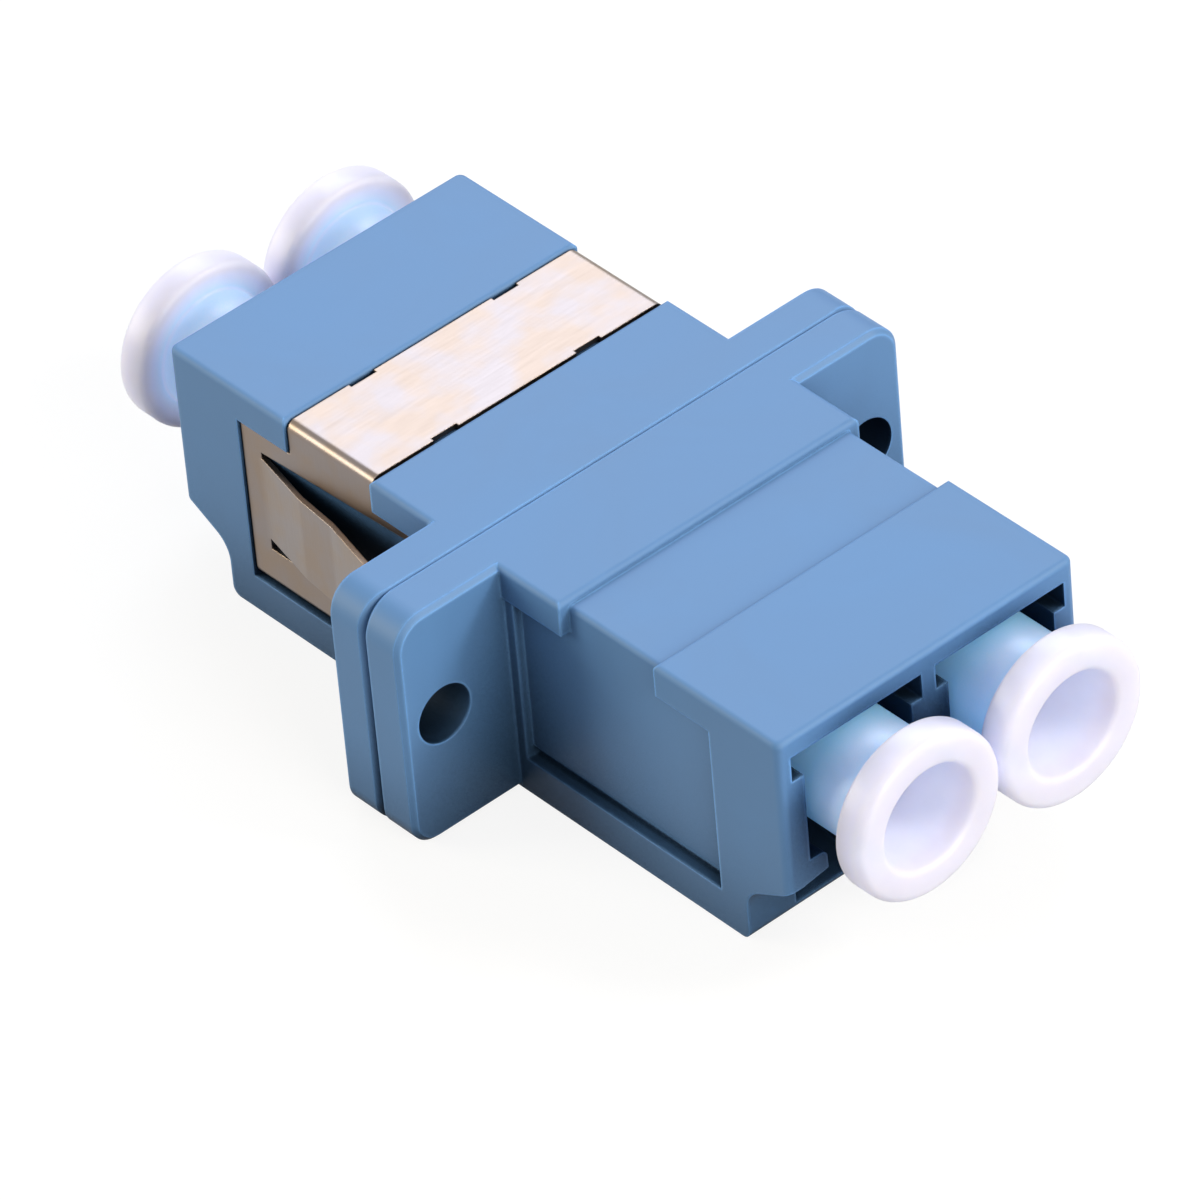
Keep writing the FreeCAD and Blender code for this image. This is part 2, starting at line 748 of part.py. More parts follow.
def check(doc, pieces):
    """Stop if a feature failed or a piece is not one valid solid."""
    doc.recompute()
    for item in doc.Objects:
        if "Invalid" in item.State or "Error" in item.State:
            raise RuntimeError(f"{item.Label}: {item.State}")
    for piece in pieces:
        if piece.Shape.isNull() or not piece.Shape.isValid():
            raise RuntimeError(f"{piece.Label}: bad shape")
        if len(piece.Shape.Solids) != 1:
            raise RuntimeError(f"{piece.Label}: {len(piece.Shape.Solids)} solids")


def export(pieces):
    """Write one STEP file for each piece."""
    os.makedirs("parts", exist_ok=True)
    for piece in pieces:
        piece.Shape.exportStep(f"parts/{piece.Label}.step")
        box = piece.Shape.BoundBox
        print(f"{piece.Label:22s} {piece.Shape.Volume:9.3f} mm3  "
              f"X {box.XMin:.2f}..{box.XMax:.2f}  Y {box.YMin:.2f}..{box.YMax:.2f}  "
              f"Z {box.ZMin:.2f}..{box.ZMax:.2f}")


def main():
    doc = FreeCAD.newDocument("lc_adapter")
    pieces = build(doc)
    check(doc, pieces)
    export(pieces)


main()
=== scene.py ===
"""Looks of a duplex fibre optic adapter, its spring clip and four push-in dust caps, in metres."""

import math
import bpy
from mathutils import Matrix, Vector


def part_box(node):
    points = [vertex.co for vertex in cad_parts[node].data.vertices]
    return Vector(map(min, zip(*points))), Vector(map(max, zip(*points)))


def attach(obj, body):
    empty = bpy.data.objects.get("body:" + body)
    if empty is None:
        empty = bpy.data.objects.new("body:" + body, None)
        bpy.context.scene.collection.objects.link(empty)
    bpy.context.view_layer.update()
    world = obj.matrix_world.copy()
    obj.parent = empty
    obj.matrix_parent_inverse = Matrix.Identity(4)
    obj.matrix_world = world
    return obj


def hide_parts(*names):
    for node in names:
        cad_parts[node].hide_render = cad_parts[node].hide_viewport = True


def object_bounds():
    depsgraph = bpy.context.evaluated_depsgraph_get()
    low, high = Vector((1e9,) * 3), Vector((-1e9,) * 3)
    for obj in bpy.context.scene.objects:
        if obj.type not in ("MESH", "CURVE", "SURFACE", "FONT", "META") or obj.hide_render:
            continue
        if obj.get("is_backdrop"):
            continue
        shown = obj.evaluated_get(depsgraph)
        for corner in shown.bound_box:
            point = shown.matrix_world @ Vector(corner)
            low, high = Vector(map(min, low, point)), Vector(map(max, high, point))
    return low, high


bl_info = {
    "name": "Duplex Fibre Adapter",
    "version": (1, 0, 0),
    "blender": (4, 5, 0),
    "location": "View3D > Sidebar > Adapter",
    "description": "Finishes a two-port fibre adapter: halves, spring clip, sleeves and dust caps",
    "category": "Object",
}

import bpy
from mathutils import Matrix, Vector

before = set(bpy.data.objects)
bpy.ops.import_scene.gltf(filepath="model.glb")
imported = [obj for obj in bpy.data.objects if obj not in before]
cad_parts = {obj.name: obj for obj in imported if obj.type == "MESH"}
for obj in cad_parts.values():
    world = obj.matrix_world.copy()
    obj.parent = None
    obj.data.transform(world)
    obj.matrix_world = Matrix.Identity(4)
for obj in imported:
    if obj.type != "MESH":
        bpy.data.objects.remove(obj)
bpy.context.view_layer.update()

HALVES = ("front_housing", "rear_housing")
SLEEVES = ("split_sleeve_left", "split_sleeve_right")
CAPS = ("cap_front_left", "cap_front_right", "cap_rear_left", "cap_rear_right")
MM = 0.001

# Sizes of the patterns that have no setting of their own.
FLOW_MARK = 6 * MM  # one shade of the flow marks in the blue plastic
SOFT_CLOUD = 1.6 * MM  # one cloud in the rolled strip and in the milky plastic
SKIN_MARK = 0.12 * MM  # one dimple in the skin of a dust cap
GRINDING_RING = 0.5 * MM  # one ring on a ceramic sleeve
PORT_REACH = 2.1 * MM  # how near a wall has to be to put painted blue port light on the tube of a dust cap
WAVE_TURN = 2 * math.pi / 20  # distance between two bands of a wave texture at scale 1

# Turning of the dust caps.
RING_RADIUS = 1 * MM  # circle that the half section is swept round
ROUND_STEPS = 5  # facets across each rounded corner
WELD_GAP = 0.002 * MM  # points closer than this are one point
CREASE = math.radians(35)  # an edge that turns more than this stays crisp

# Camera and stage.
SENSOR = 36  # millimetres
LENS_SHIFT = (-0.02346, -0.03023)  # sideways and upwards, in frame widths
CAMERA_AIM = (0, -0.215 * MM, 4.675 * MM)  # a point in the middle of the adapter
FLOOR_REACH = 3.0  # from its middle to each side
FLOOR_GAP = 0.02 * MM  # the floor stays this far below the underside
PAPER_GLOW = 0.85  # how much the floor is lifted towards white where it is seen


def linear(code):
    """An sRGB hex colour as linear red, green and blue."""
    shares = [int(code[i:i + 2], 16) / 255 for i in (0, 2, 4)]
    return [s / 12.92 if s <= 0.04045 else ((s + 0.055) / 1.055) ** 2.4 for s in shares]


def opaque(colour):
    """A colour with full alpha, as a shader socket takes it."""
    return (*colour[:3], 1.0)


def shaded(colour, share):
    """A colour made darker or lighter by a share, at most white."""
    return [min(1, c * share) for c in colour]


def add_node(tree, kind, links=(), inputs=(), ramp=(), **settings):
    """Adds one node with its settings.

    Settings name its properties, inputs give its sockets a value by name or number, a ramp gives
    the place and colour of each stop, and links join other sockets to it."""
    node = tree.nodes.new(kind)
    for name, value in settings.items():
        setattr(node, name, value)
    for socket, value in dict(inputs).items():
        node.inputs[socket].default_value = value
    for stop, (place, colour) in enumerate(ramp):
        node.color_ramp.elements[stop].position = place
        node.color_ramp.elements[stop].color = opaque(colour)
    for source, socket in links:
        tree.links.new(source, node.inputs[socket])
    return node


def new_material(name):
    """An empty node material with its tree and its output node."""
    material = bpy.data.materials.new(name)
    material.use_nodes = True
    tree = material.node_tree
    tree.nodes.clear()
    return material, tree, tree.nodes.new("ShaderNodeOutputMaterial")


def cover(node, material):
    """Puts one material on every slot of a CAD node."""
    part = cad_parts[node]
    if not part.data.materials:
        part.data.materials.append(material)
    for place in part.material_slots:
        place.material = material


class HousingSettings(bpy.types.PropertyGroup):
    colour: bpy.props.FloatVectorProperty(
        name="Plastic colour", description="Colour of the moulded halves", subtype="COLOR", size=3,
        min=0, max=1, default=linear("5B88BC"))
    grain: bpy.props.FloatProperty(
        name="Grain size", description="Width of one spark-eroded pit, as it is drawn",
        unit="LENGTH", default=0.09 * MM, min=0.01 * MM, precision=6)
    # The same radius sets the width of the painted edge highlight.
    edge: bpy.props.FloatProperty(
        name="Edge rounding", description="Radius that the light sees on the sharp moulded edges",
        unit="LENGTH", default=0.18 * MM, min=0, precision=6)
    # Painted shade: this reach sets how far from an inner corner the plastic is darkened.
    painted_shade_reach: bpy.props.FloatProperty(
        name="Painted shade reach", description="How far from an inner corner the plastic looks deeper",
        unit="LENGTH", default=8.0 * MM, min=0, precision=6)
    roughness: bpy.props.FloatProperty(
        name="Roughness", description="Roughness of the moulded surface", subtype="FACTOR",
        default=0.52, min=0, max=1)


class ClipSettings(bpy.types.PropertyGroup):
    colour: bpy.props.FloatVectorProperty(
        name="Steel colour", description="Reflected colour of the stainless strip",
        subtype="COLOR", size=3, min=0, max=1, default=linear("867668"))
    tint: bpy.props.FloatVectorProperty(
        name="Cloud colour", description="Second tone of the strip, in soft clouds",
        subtype="COLOR", size=3, min=0, max=1, default=linear("837974"))
    edge: bpy.props.FloatProperty(
        name="Edge rounding", description="Radius that the light sees on the sheared edges",
        unit="LENGTH", default=0.05 * MM, min=0, precision=6)
    line: bpy.props.FloatProperty(
        name="Rolling line pitch", description="Distance between the rolled lines, as drawn",
        unit="LENGTH", default=0.06 * MM, min=0.005 * MM, precision=6)
    roughness: bpy.props.FloatProperty(
        name="Roughness", description="Roughness of the rolled strip", subtype="FACTOR",
        default=0.32, min=0, max=1)


class SleeveSettings(bpy.types.PropertyGroup):
    colour: bpy.props.FloatVectorProperty(
        name="Ceramic colour", description="Colour of the ground zirconia sleeves",
        subtype="COLOR", size=3, min=0, max=1, default=linear("EFEDE6"))


class CapSettings(bpy.types.PropertyGroup):
    colour: bpy.props.FloatVectorProperty(
        name="Cap colour", description="Colour of the milky plastic of the dust caps",
        subtype="COLOR", size=3, min=0, max=1, default=linear("E6E5F4"))
    depth: bpy.props.FloatProperty(
        name="Milkiness depth", description="How far light spreads inside the plastic",
        unit="LENGTH", default=0.7 * MM, min=0, precision=6)
    disc: bpy.props.FloatProperty(
        name="Disc diameter", description="Diameter of the grip disc",
        unit="LENGTH", default=6.15 * MM, precision=6)
    disc_thickness: bpy.props.FloatProperty(
        name="Disc thickness", description="Thickness of the grip disc",
        unit="LENGTH", default=1.25 * MM, precision=6)
    rim: bpy.props.FloatProperty(
        name="Rim round", description="Radius of the grip disc's front edge",
        unit="LENGTH", default=0.3 * MM, precision=6)
    mouth: bpy.props.FloatProperty(
        name="Mouth diameter", description="Diameter of the hollow at the front face",
        unit="LENGTH", default=3.9 * MM, precision=6)
    lip: bpy.props.FloatProperty(
        name="Lip round", description="Radius of the hollow's front edge",
        unit="LENGTH", default=0.25 * MM, precision=6)
    throat: bpy.props.FloatProperty(
        name="Throat diameter", description="Diameter of the hollow behind its funnel",
        unit="LENGTH", default=2.9 * MM, precision=6)
    funnel: bpy.props.FloatProperty(
        name="Funnel length", description="Length over which the hollow narrows",
        unit="LENGTH", default=2.4 * MM, precision=6)
    well: bpy.props.FloatProperty(
        name="Well length", description="Length of the straight hollow behind the funnel",
        unit="LENGTH", default=6.5 * MM, precision=6)
    tube: bpy.props.FloatProperty(
        name="Tube diameter", description="Diameter of the tube that fills the port",
        unit="LENGTH", default=4.22 * MM, precision=6)
    grip: bpy.props.FloatProperty(
        name="Grip bore", description="Bore of the inner end, which goes over the barrel",
        unit="LENGTH", default=2.7 * MM, precision=6)
    grip_length: bpy.props.FloatProperty(
        name="Grip length", description="Depth of the bore that goes over the barrel",
        unit="LENGTH", default=2.6 * MM, precision=6)
    # Painted glow: an emission that stands in for light that the disc catches and the plastic lets
    # out.
    painted_glow: bpy.props.FloatProperty(
        name="Painted glow", description="Light that the disc catches and the plastic lets out",
        default=0.4, min=0, max=1)
    # Painted reflected light: a blue, standing in for light from the port, that is put into the
    # tube wall's colour.
    painted_port_blue: bpy.props.FloatVectorProperty(
        name="Painted port blue", description="Colour that the blue port gives the thin tube wall",
        subtype="COLOR", size=3, min=0, max=1, default=linear("9AD6FF"))
    facets: bpy.props.IntProperty(
        name="Facets", description="Facets round the cap", default=128, min=24)
    roughness: bpy.props.FloatProperty(
        name="Roughness", description="Roughness of the moulded caps", subtype="FACTOR",
        default=0.32, min=0, max=1)


class StageSettings(bpy.types.PropertyGroup):
    floor_colour: bpy.props.FloatVectorProperty(
        name="Floor colour", description="Colour of the floor sheet", subtype="COLOR", size=3,
        min=0, max=1, default=linear("7C7C7C"))
    room_colour: bpy.props.FloatVectorProperty(
        name="Room colour", description="Colour of the even light from all round",
        subtype="COLOR", size=3, min=0, max=1, default=linear("8E8D89"))
    lens: bpy.props.FloatProperty(
        name="Lens", description="Focal length in millimetres", default=356.98, min=10)
    azimuth: bpy.props.FloatProperty(
        name="Azimuth", description="Turn of the camera round the upright axis",
        subtype="ANGLE", default=math.radians(-38.79))
    elevation: bpy.props.FloatProperty(
        name="Elevation", description="Height of the camera above the floor",
        subtype="ANGLE", default=math.radians(39.32))
    roll: bpy.props.FloatProperty(
        name="Roll", description="Tilt of the camera about its own line of sight",
        subtype="ANGLE", default=math.radians(-5.14))
    distance: bpy.props.FloatProperty(
        name="Distance", description="Distance from the camera to the middle of the adapter",
        unit="LENGTH", default=0.3887, min=0.05)


def moulded_blue_plastic(settings):
    """Spark-eroded, injection-moulded PBT: an even light blue with a satin, finely pitted skin.

    The pits break the shine into a soft sheen, and flow marks shift the shade a little over the
    length of a wall. Sharp edges are lightened as a painted highlight, and inner corners and slots
    are darkened as painted shade."""
    material, tree, out = new_material("injection_moulded_pbt_light_blue")
    place = add_node(tree, "ShaderNodeTexCoord")
    # Real pits are about 0.03 mm wide and too fine to show, so they are drawn three times as wide.
    pits = add_node(tree, "ShaderNodeTexNoise", [(place.outputs["Object"], "Vector")],
                    {"Scale": 1 / settings.grain, "Detail": 2.0, "Roughness": 0.6})
    flow = add_node(tree, "ShaderNodeTexNoise", [(place.outputs["Object"], "Vector")],
                    {"Scale": 1 / FLOW_MARK, "Detail": 3.0, "Roughness": 0.5, "Distortion": 0.6})
    shade = add_node(tree, "ShaderNodeValToRGB", [(flow.outputs["Fac"], "Fac")],
                     ramp=[(0.3, shaded(settings.colour, 0.94)),
                           (0.7, shaded(settings.colour, 1.05))])
    gloss = add_node(tree, "ShaderNodeMapRange", [(flow.outputs["Fac"], "Value")],
                     {"To Min": settings.roughness - 0.05, "To Max": settings.roughness + 0.05})
    soft = add_node(tree, "ShaderNodeBevel", inputs={"Radius": settings.edge}, samples=4)
    bump = add_node(tree, "ShaderNodeBump",
                    [(pits.outputs["Fac"], "Height"), (soft.outputs["Normal"], "Normal")],
                    {"Strength": 0.25, "Distance": 0.006 * MM})

    # Painted highlight: an edge, where the softened surface turns away from the flat one, is
    # lightened up to 2.5 times.
    facing = add_node(tree, "ShaderNodeNewGeometry")
    turn = add_node(tree, "ShaderNodeVectorMath",
                    [(soft.outputs["Normal"], 0), (facing.outputs["Normal"], 1)],
                    operation="DOT_PRODUCT")
    painted_edge_highlight = add_node(tree, "ShaderNodeMapRange", [(turn.outputs["Value"], "Value")],
                      {"From Min": 0.99, "From Max": 0.82, "To Min": 1.0, "To Max": 2.5})

    # Painted shade: a closed-in place is darkened to as little as 0.07 of its colour and loses most
    # of its shine, where shade falls.
    opening = add_node(tree, "ShaderNodeAmbientOcclusion",
                       inputs={"Distance": settings.painted_shade_reach}, samples=5)
    depth = add_node(tree, "ShaderNodeMapRange", [(opening.outputs["AO"], "Value")],
                     {"From Min": 0.3, "From Max": 0.74, "To Min": 0.07, "To Max": 1.0},
                     interpolation_type="SMOOTHSTEP")
    shine = add_node(tree, "ShaderNodeMath", [(depth.outputs["Result"], 0)], {1: 0.5},
                     operation="MULTIPLY")
    # The colour is scaled by both the painted edge highlight and the painted shade.
    weight = add_node(tree, "ShaderNodeMath",
                      [(painted_edge_highlight.outputs["Result"], 0), (depth.outputs["Result"], 1)],
                      operation="MULTIPLY")
    toned = add_node(tree, "ShaderNodeVectorMath",
                     [(shade.outputs["Color"], "Vector"), (weight.outputs[0], "Scale")],
                     operation="SCALE")
    skin = add_node(tree, "ShaderNodeBsdfPrincipled",
                    [(toned.outputs["Vector"], "Base Color"),
                     (gloss.outputs["Result"], "Roughness"),
                     (shine.outputs[0], "Specular IOR Level"),
                     (bump.outputs["Normal"], "Normal")],
                    {"IOR": 1.5})
    tree.links.new(skin.outputs["BSDF"], out.inputs["Surface"])
    return material


def rolled_stainless_steel(settings):
    """Cold-rolled stainless strip, stamped and folded: fine lines stretch every highlight."""
    material, tree, out = new_material("cold_rolled_stainless_steel")
    place = add_node(tree, "ShaderNodeTexCoord")
    # The lines run across the top plate and down its sides, 25 times as long as they are wide.
    along = add_node(tree, "ShaderNodeMapping", [(place.outputs["Object"], "Vector")],
                     {"Scale": (1 / 25, 1.0, 1 / 25)})
    # Rolled lines lie about 0.01 mm apart, so they are drawn six times as coarse to show.
    lines = add_node(tree, "ShaderNodeTexNoise", [(along.outputs["Vector"], "Vector")],
                     {"Scale": 1 / settings.line, "Detail": 3.0, "Roughness": 0.6})
    cloud = add_node(tree, "ShaderNodeTexNoise", [(place.outputs["Object"], "Vector")],
                     {"Scale": 1 / SOFT_CLOUD, "Detail": 3.0})
    tone = add_node(tree, "ShaderNodeValToRGB", [(cloud.outputs["Fac"], "Fac")],
                    ramp=[(0.38, settings.colour), (0.62, settings.tint)])
    gloss = add_node(tree, "ShaderNodeMapRange", [(lines.outputs["Fac"], "Value")],
                     {"To Min": settings.roughness - 0.08, "To Max": settings.roughness + 0.08})
    soft = add_node(tree, "ShaderNodeBevel", inputs={"Radius": settings.edge}, samples=4)
    wave = add_node(tree, "ShaderNodeBump",
                    [(cloud.outputs["Fac"], "Height"), (soft.outputs["Normal"], "Normal")],
                    {"Strength": 0.3, "Distance": 0.03 * MM})
    bump = add_node(tree, "ShaderNodeBump",
                    [(lines.outputs["Fac"], "Height"), (wave.outputs["Normal"], "Normal")],
                    {"Strength": 0.2, "Distance": 0.004 * MM})
    skin = add_node(tree, "ShaderNodeBsdfPrincipled",
                    [(tone.outputs["Color"], "Base Color"),
                     (gloss.outputs["Result"], "Roughness"),
                     (bump.outputs["Normal"], "Normal")],
                    {"Metallic": 1.0})
    tree.links.new(skin.outputs["BSDF"], out.inputs["Surface"])
    return material


def ground_zirconia(settings):
    """Sintered and ground zirconia: bright, hard and glossy, with faint rings from the wheel."""
    material, tree, out = new_material("ground_zirconia_ceramic")
    place = add_node(tree, "ShaderNodeTexCoord")
    # The wheel leaves rings about 0.05 mm apart, so they are drawn ten times as coarse to show.
    rings = add_node(tree, "ShaderNodeTexWave", [(place.outputs["Object"], "Vector")],
                     {"Scale": WAVE_TURN / GRINDING_RING, "Distortion": 1.0, "Detail": 2.0},
                     bands_direction="Y")
    bump = add_node(tree, "ShaderNodeBump", [(rings.outputs["Fac"], "Height")],
                    {"Strength": 0.15, "Distance": 0.002 * MM})
    tone = add_node(tree, "ShaderNodeMixRGB", [(rings.outputs["Fac"], "Fac")],
                    {"Color1": opaque(shaded(settings.colour, 0.95)),
                     "Color2": opaque(settings.colour)})
    skin = add_node(tree, "ShaderNodeBsdfPrincipled",
                    [(tone.outputs["Color"], "Base Color"), (bump.outputs["Normal"], "Normal")],
                    {"Roughness": 0.18, "IOR": 2.1})
    tree.links.new(skin.outputs["BSDF"], out.inputs["Surface"])
    return material


def moulded_milky_polyethylene(settings):
    """Unpigmented, injection-moulded polyethylene: milky white, and light glows through it.

    The disc and the funnel get a painted glow that stands in for light the plastic catches and
    lets out, and a thin wall that stands inside a blue port gets painted blue light from it."""
    material, tree, out = new_material("injection_moulded_milky_polyethylene")
    place = add_node(tree, "ShaderNodeTexCoord")
    haze = add_node(tree, "ShaderNodeTexNoise", [(place.outputs["Object"], "Vector")],
                    {"Scale": 1 / SOFT_CLOUD, "Detail": 3.0})
    # The real dimples are about 0.04 mm wide, so they are drawn three times as wide to show.
    dimples = add_node(tree, "ShaderNodeTexNoise", [(place.outputs["Object"], "Vector")],
                       {"Scale": 1 / SKIN_MARK, "Detail": 2.0})
    tone = add_node(tree, "ShaderNodeValToRGB", [(haze.outputs["Fac"], "Fac")],
                    ramp=[(0.3, shaded(settings.colour, 0.95)), (0.7, settings.colour)])
    gloss = add_node(tree, "ShaderNodeMapRange", [(haze.outputs["Fac"], "Value")],
                     {"To Min": settings.roughness - 0.05, "To Max": settings.roughness + 0.05})
    soft = add_node(tree, "ShaderNodeBevel", inputs={"Radius": 0.08 * MM}, samples=4)
    bump = add_node(tree, "ShaderNodeBump",
                    [(dimples.outputs["Fac"], "Height"), (soft.outputs["Normal"], "Normal")],
                    {"Strength": 0.15, "Distance": 0.005 * MM})

    # Painted reflected light: the tube wall is tinted towards blue where the port's walls are near.
    # This finds the walls of a port, but hardly the next cap when both are out.
    wall = add_node(tree, "ShaderNodeAttribute", attribute_name="port_blue_share")
    opening = add_node(tree, "ShaderNodeAmbientOcclusion",
                       inputs={"Distance": PORT_REACH}, samples=5)
    housed = add_node(tree, "ShaderNodeMapRange", [(opening.outputs["AO"], "Value")],
                      {"From Min": 0.93, "From Max": 0.65, "To Min": 0.0, "To Max": 1.0})
    share = add_node(tree, "ShaderNodeMath",
                     [(wall.outputs["Fac"], 0), (housed.outputs["Result"], 1)],
                     operation="MULTIPLY")
    tint = add_node(tree, "ShaderNodeMixRGB",
                    [(share.outputs[0], "Fac"), (tone.outputs["Color"], "Color1")],
                    {"Color2": opaque(settings.painted_port_blue)})

    # Painted glow: the plastic emits its own colour as much as the outline's share says.
    caught = add_node(tree, "ShaderNodeAttribute", attribute_name="painted_glow_share")
    painted_glow_strength = add_node(tree, "ShaderNodeMath", [(caught.outputs["Fac"], 0)], {1: settings.painted_glow},
                    operation="MULTIPLY")
    skin = add_node(tree, "ShaderNodeBsdfPrincipled",
                    [(tint.outputs["Color"], "Base Color"),
                     (bump.outputs["Normal"], "Normal"),
                     (gloss.outputs["Result"], "Roughness"),
                     (tint.outputs["Color"], "Emission Color"),
                     (painted_glow_strength.outputs[0], "Emission Strength")],
                    {"IOR": 1.51, "Subsurface Weight": 1.0,
                     "Subsurface Radius": (1.0, 0.9, 0.85), "Subsurface Scale": settings.depth})
    glow = add_node(tree, "ShaderNodeBsdfRefraction",
                    [(tint.outputs["Color"], "Color"), (soft.outputs["Normal"], "Normal")],
                    {"IOR": 1.08, "Roughness": 0.6})
    both = add_node(tree, "ShaderNodeMixShader", [(skin.outputs[0], 1), (glow.outputs[0], 2)],
                    {0: 0.2})
    tree.links.new(both.outputs[0], out.inputs["Surface"])
    return material


def seen_directly(tree):
    """A socket that is 1 where a thing is seen, mirrored or seen through, and 0 where it lights."""
    path = add_node(tree, "ShaderNodeLightPath")
    seen = add_node(tree, "ShaderNodeMath",
                    [(path.outputs["Is Camera Ray"], 0), (path.outputs["Is Glossy Ray"], 1)],
                    operation="ADD")
    shown = add_node(tree, "ShaderNodeMath",
                     [(seen.outputs[0], 0), (path.outputs["Is Transmission Ray"], 1)],
                     operation="ADD", use_clamp=True)
    return shown.outputs[0]


def pale_sheet(settings):
    """Seamless white paper: plain and dull, and it keeps the soft shadow of what stands on it."""
    material, tree, out = new_material("white_paper_sweep")
    lift = add_node(tree, "ShaderNodeMath", [(seen_directly(tree), 0)], {1: PAPER_GLOW},
                    operation="MULTIPLY")
    paper = add_node(tree, "ShaderNodeBsdfDiffuse", inputs={"Color": opaque(settings.floor_colour)})
    glow = add_node(tree, "ShaderNodeEmission", [(lift.outputs[0], "Strength")])
    both = add_node(tree, "ShaderNodeAddShader", [(paper.outputs[0], 0), (glow.outputs[0], 1)])
    tree.links.new(both.outputs[0], out.inputs["Surface"])
    return material


class ADAPTER_OT_housing(bpy.types.Operator):
    """Finish the two welded moulded halves"""

    bl_idname = "adapter.housing"
    bl_label = "Moulded Halves"

    def execute(self, context):
        plastic = moulded_blue_plastic(context.scene.adapter_housing)
        for node in HALVES:
            cover(node, plastic)
        return {"FINISHED"}


class ADAPTER_OT_clip(bpy.types.Operator):
    """Finish the folded spring clip"""

    bl_idname = "adapter.clip"
    bl_label = "Spring Clip"

    def execute(self, context):
        cover("panel_clip", rolled_stainless_steel(context.scene.adapter_clip))
        return {"FINISHED"}


class ADAPTER_OT_sleeves(bpy.types.Operator):
    """Finish the two slit alignment sleeves"""

    bl_idname = "adapter.sleeves"
    bl_label = "Alignment Sleeves"

    def execute(self, context):
        ceramic = ground_zirconia(context.scene.adapter_sleeves)
        for node in SLEEVES:
            cover(node, ceramic)
        return {"FINISHED"}


def cap_outline(settings, length):
    """Half section of a cap, from the axis at the floor of its well to the axis at its bore.

    Each corner has its radius, its distance behind the front face, its round, how much painted
    blue port light its thin wall takes, and how much painted glow comes out there."""
    tube, disc = settings.tube / 2, settings.disc / 2
    mouth, throat, grip = settings.mouth / 2, settings.throat / 2, settings.grip / 2
    floor = settings.funnel + settings.well
    back = settings.disc_thickness
    glow_near, glow_far = back + 0.6 * MM, back + 3 * MM
    bore = length - settings.grip_length
    bevel = 0.25 * MM
    well_round, root_round, tip_round, bore_round = 0.3 * MM, 0.12 * MM, 0.1 * MM, 0.05 * MM
    return (
        (0, floor, 0, 0, 0.1),
        (throat, floor, well_round, 0, 0.1),
        (throat, settings.funnel, well_round, 0, 0.32),
        (mouth, 0, settings.lip, 0, 0.55),
        (disc, 0, settings.rim, 0, 0.62),
        (disc, back, settings.rim * 0.7, 0, 0),
        (tube, back, root_round, 0.6, 0.8),
        (tube, glow_near, 0, 1, 0.7),
        (tube, glow_far, 0, 1, 0.2),
        (tube, length - bevel, tip_round, 1, 0),
        (tube - bevel, length, tip_round, 1, 0),
        (grip, length, bore_round, 0, 0),
        (grip, bore, tip_round, 0, 0),
        (0, bore, 0, 0, 0),
    )


def outline_wire(name, corners, path):
    """An open wire through the corners, set off from its axis by the path's radius.

    Each point keeps its corner's round and its two shares for the material."""
    mesh = bpy.data.meshes.new(name)
    points = [(corner[0] - path, corner[1], 0) for corner in corners]
    mesh.from_pydata(points, [(i, i + 1) for i in range(len(points) - 1)], [])
    for label, column in (("round", 2), ("port_blue_share", 3), ("painted_glow_share", 4)):
        values = mesh.attributes.new(label, "FLOAT", "POINT")
        values.data.foreach_set("value", [corner[column] for corner in corners])
    return bpy.data.objects.new(name, mesh)


